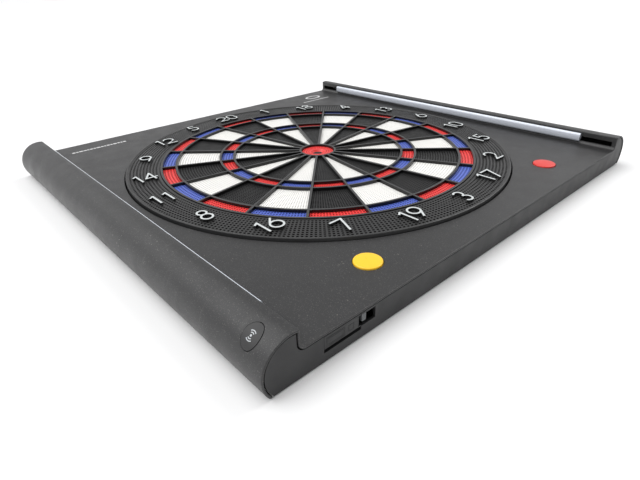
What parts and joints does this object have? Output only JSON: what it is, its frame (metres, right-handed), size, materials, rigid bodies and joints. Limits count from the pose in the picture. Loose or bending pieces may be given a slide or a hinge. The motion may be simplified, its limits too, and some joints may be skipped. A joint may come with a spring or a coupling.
{
  "type": "electronic dartboard",
  "caption": "Square electronic soft-tip dartboard with press-in score segments, raised number ring, light bars in two side rolls and push buttons.",
  "frame": {"origin": "middle of the rectangle that the board stands on when it lies on its back, at the soles of the rubber pads", "axes": "+Z out of the target face, +Y towards the 20 at the top of the hung board, +X to its right along the longest side"},
  "size_m": [0.582, 0.543, 0.0419],
  "materials": {
    "casing": "fine moulded texture",
    "ring": "satin",
    "web": "glossy",
    "segment_black": "satin",
    "segment_white": "satin",
    "segment_red": "semi-gloss",
    "segment_blue": "semi-gloss",
    "numeral": "white faces",
    "diffuser": "milky",
    "button_yellow": "semi-gloss",
    "button_red": "semi-gloss",
    "button_black": "satin",
    "knob": "satin",
    "pad_rubber": "matte",
    "mat_rubber": "matte",
    "film": "clear printed film",
    "plate": "matte",
    "circuit_board": "solder mask",
    "led": "clear",
    "switch_body": "satin",
    "plug": "satin",
    "steel": "zinc plated",
    "lead": "satin insulation"
  },
  "bodies": {
    "main": {"front_cover": "casing", "rear_housing": "casing", "back_pads": "pad_rubber", "port_cover_pin": "steel", "spider": "web", "rubber_mat": "mat_rubber", "sensor_film": "film", "backing_plate": "plate", "number_ring": "ring", "numerals": "numeral", "diffuser_left": "diffuser", "diffuser_right": "diffuser", "light_board_left": "circuit_board", "light_board_right": "circuit_board", "leds_left": "led", "leds_right": "led", "switch_boards": "circuit_board", "tact_switches": "switch_body", "power_switch_body": "switch_body", "power_socket": "steel", "main_board": "circuit_board", "radio_module": "steel", "board_plugs": "plug", "housing_screws": "steel", "plate_screws": "steel", "ring_screws": "steel", "board_screws": "steel", "lead_left_light": "lead", "lead_yellow": "lead", "lead_red": "lead", "lead_right_light": "lead", "lead_wireless": "lead"},
    "sector_20": {"sector_20": "segment_black"},
    "sector_01": {"sector_01": "segment_white"},
    "sector_18": {"sector_18": "segment_black"},
    "sector_04": {"sector_04": "segment_white"},
    "sector_13": {"sector_13": "segment_black"},
    "sector_06": {"sector_06": "segment_white"},
    "sector_10": {"sector_10": "segment_black"},
    "sector_15": {"sector_15": "segment_white"},
    "sector_02": {"sector_02": "segment_black"},
    "sector_17": {"sector_17": "segment_white"},
    "sector_03": {"sector_03": "segment_black"},
    "sector_19": {"sector_19": "segment_white"},
    "sector_07": {"sector_07": "segment_black"},
    "sector_16": {"sector_16": "segment_white"},
    "sector_08": {"sector_08": "segment_black"},
    "sector_11": {"sector_11": "segment_white"},
    "sector_14": {"sector_14": "segment_black"},
    "sector_09": {"sector_09": "segment_white"},
    "sector_12": {"sector_12": "segment_black"},
    "sector_05": {"sector_05": "segment_white"},
    "outer_bull": {"outer_bull": "segment_red"},
    "inner_bull": {"inner_bull": "segment_black"},
    "yellow_button": {"yellow_button": "button_yellow"},
    "red_button": {"red_button": "button_red"},
    "wireless_button": {"wireless_button": "button_black"},
    "power_switch_knob": {"power_switch_knob": "knob"},
    "port_cover": {"port_cover": "casing"}
  },
  "joints": [
    {"name": "sector_20_press", "type": "slide", "parent": "main", "child": "sector_20", "axis": [0, 0, -1], "range_m": [0, 0.001], "stiffness_N_per_m": 3000, "springref_m": -0.0007},
    {"name": "sector_01_press", "type": "slide", "parent": "main", "child": "sector_01", "axis": [0, 0, -1], "range_m": [0, 0.001], "stiffness_N_per_m": 3000, "springref_m": -0.0007},
    {"name": "sector_18_press", "type": "slide", "parent": "main", "child": "sector_18", "axis": [0, 0, -1], "range_m": [0, 0.001], "stiffness_N_per_m": 3000, "springref_m": -0.0007},
    {"name": "sector_04_press", "type": "slide", "parent": "main", "child": "sector_04", "axis": [0, 0, -1], "range_m": [0, 0.001], "stiffness_N_per_m": 3000, "springref_m": -0.0007},
    {"name": "sector_13_press", "type": "slide", "parent": "main", "child": "sector_13", "axis": [0, 0, -1], "range_m": [0, 0.001], "stiffness_N_per_m": 3000, "springref_m": -0.0007},
    {"name": "sector_06_press", "type": "slide", "parent": "main", "child": "sector_06", "axis": [0, 0, -1], "range_m": [0, 0.001], "stiffness_N_per_m": 3000, "springref_m": -0.0007},
    {"name": "sector_10_press", "type": "slide", "parent": "main", "child": "sector_10", "axis": [0, 0, -1], "range_m": [0, 0.001], "stiffness_N_per_m": 3000, "springref_m": -0.0007},
    {"name": "sector_15_press", "type": "slide", "parent": "main", "child": "sector_15", "axis": [0, 0, -1], "range_m": [0, 0.001], "stiffness_N_per_m": 3000, "springref_m": -0.0007},
    {"name": "sector_02_press", "type": "slide", "parent": "main", "child": "sector_02", "axis": [0, 0, -1], "range_m": [0, 0.001], "stiffness_N_per_m": 3000, "springref_m": -0.0007},
    {"name": "sector_17_press", "type": "slide", "parent": "main", "child": "sector_17", "axis": [0, 0, -1], "range_m": [0, 0.001], "stiffness_N_per_m": 3000, "springref_m": -0.0007},
    {"name": "sector_03_press", "type": "slide", "parent": "main", "child": "sector_03", "axis": [0, 0, -1], "range_m": [0, 0.001], "stiffness_N_per_m": 3000, "springref_m": -0.0007},
    {"name": "sector_19_press", "type": "slide", "parent": "main", "child": "sector_19", "axis": [0, 0, -1], "range_m": [0, 0.001], "stiffness_N_per_m": 3000, "springref_m": -0.0007},
    {"name": "sector_07_press", "type": "slide", "parent": "main", "child": "sector_07", "axis": [0, 0, -1], "range_m": [0, 0.001], "stiffness_N_per_m": 3000, "springref_m": -0.0007},
    {"name": "sector_16_press", "type": "slide", "parent": "main", "child": "sector_16", "axis": [0, 0, -1], "range_m": [0, 0.001], "stiffness_N_per_m": 3000, "springref_m": -0.0007},
    {"name": "sector_08_press", "type": "slide", "parent": "main", "child": "sector_08", "axis": [0, 0, -1], "range_m": [0, 0.001], "stiffness_N_per_m": 3000, "springref_m": -0.0007},
    {"name": "sector_11_press", "type": "slide", "parent": "main", "child": "sector_11", "axis": [0, 0, -1], "range_m": [0, 0.001], "stiffness_N_per_m": 3000, "springref_m": -0.0007},
    {"name": "sector_14_press", "type": "slide", "parent": "main", "child": "sector_14", "axis": [0, 0, -1], "range_m": [0, 0.001], "stiffness_N_per_m": 3000, "springref_m": -0.0007},
    {"name": "sector_09_press", "type": "slide", "parent": "main", "child": "sector_09", "axis": [0, 0, -1], "range_m": [0, 0.001], "stiffness_N_per_m": 3000, "springref_m": -0.0007},
    {"name": "sector_12_press", "type": "slide", "parent": "main", "child": "sector_12", "axis": [0, 0, -1], "range_m": [0, 0.001], "stiffness_N_per_m": 3000, "springref_m": -0.0007},
    {"name": "sector_05_press", "type": "slide", "parent": "main", "child": "sector_05", "axis": [0, 0, -1], "range_m": [0, 0.001], "stiffness_N_per_m": 3000, "springref_m": -0.0007},
    {"name": "outer_bull_press", "type": "slide", "parent": "main", "child": "outer_bull", "axis": [0, 0, -1], "range_m": [0, 0.001], "stiffness_N_per_m": 600, "springref_m": -0.0007},
    {"name": "inner_bull_press", "type": "slide", "parent": "main", "child": "inner_bull", "axis": [0, 0, -1], "range_m": [0, 0.001], "stiffness_N_per_m": 600, "springref_m": -0.0007},
    {"name": "yellow_button_press", "type": "slide", "parent": "main", "child": "yellow_button", "axis": [0, 0, -1], "range_m": [0, 0.001], "stiffness_N_per_m": 600, "springref_m": -0.0007},
    {"name": "red_button_press", "type": "slide", "parent": "main", "child": "red_button", "axis": [0, 0, -1], "range_m": [0, 0.001], "stiffness_N_per_m": 600, "springref_m": -0.0007},
    {"name": "wireless_button_press", "type": "slide", "parent": "main", "child": "wireless_button", "axis": [0.6157, 0, -0.788], "range_m": [0, 0.001], "stiffness_N_per_m": 600, "springref_m": -0.0007},
    {"name": "power_switch_slide", "type": "slide", "parent": "main", "child": "power_switch_knob", "axis": [1, 0, 0], "range_m": [0, 0.006]},
    {"name": "port_cover_hinge", "type": "hinge", "parent": "main", "child": "port_cover", "pos_m": [-0.22165, -0.2697, 0.0217], "axis": [-1, 0, 0], "range_deg": [0, 95]}
  ]
}
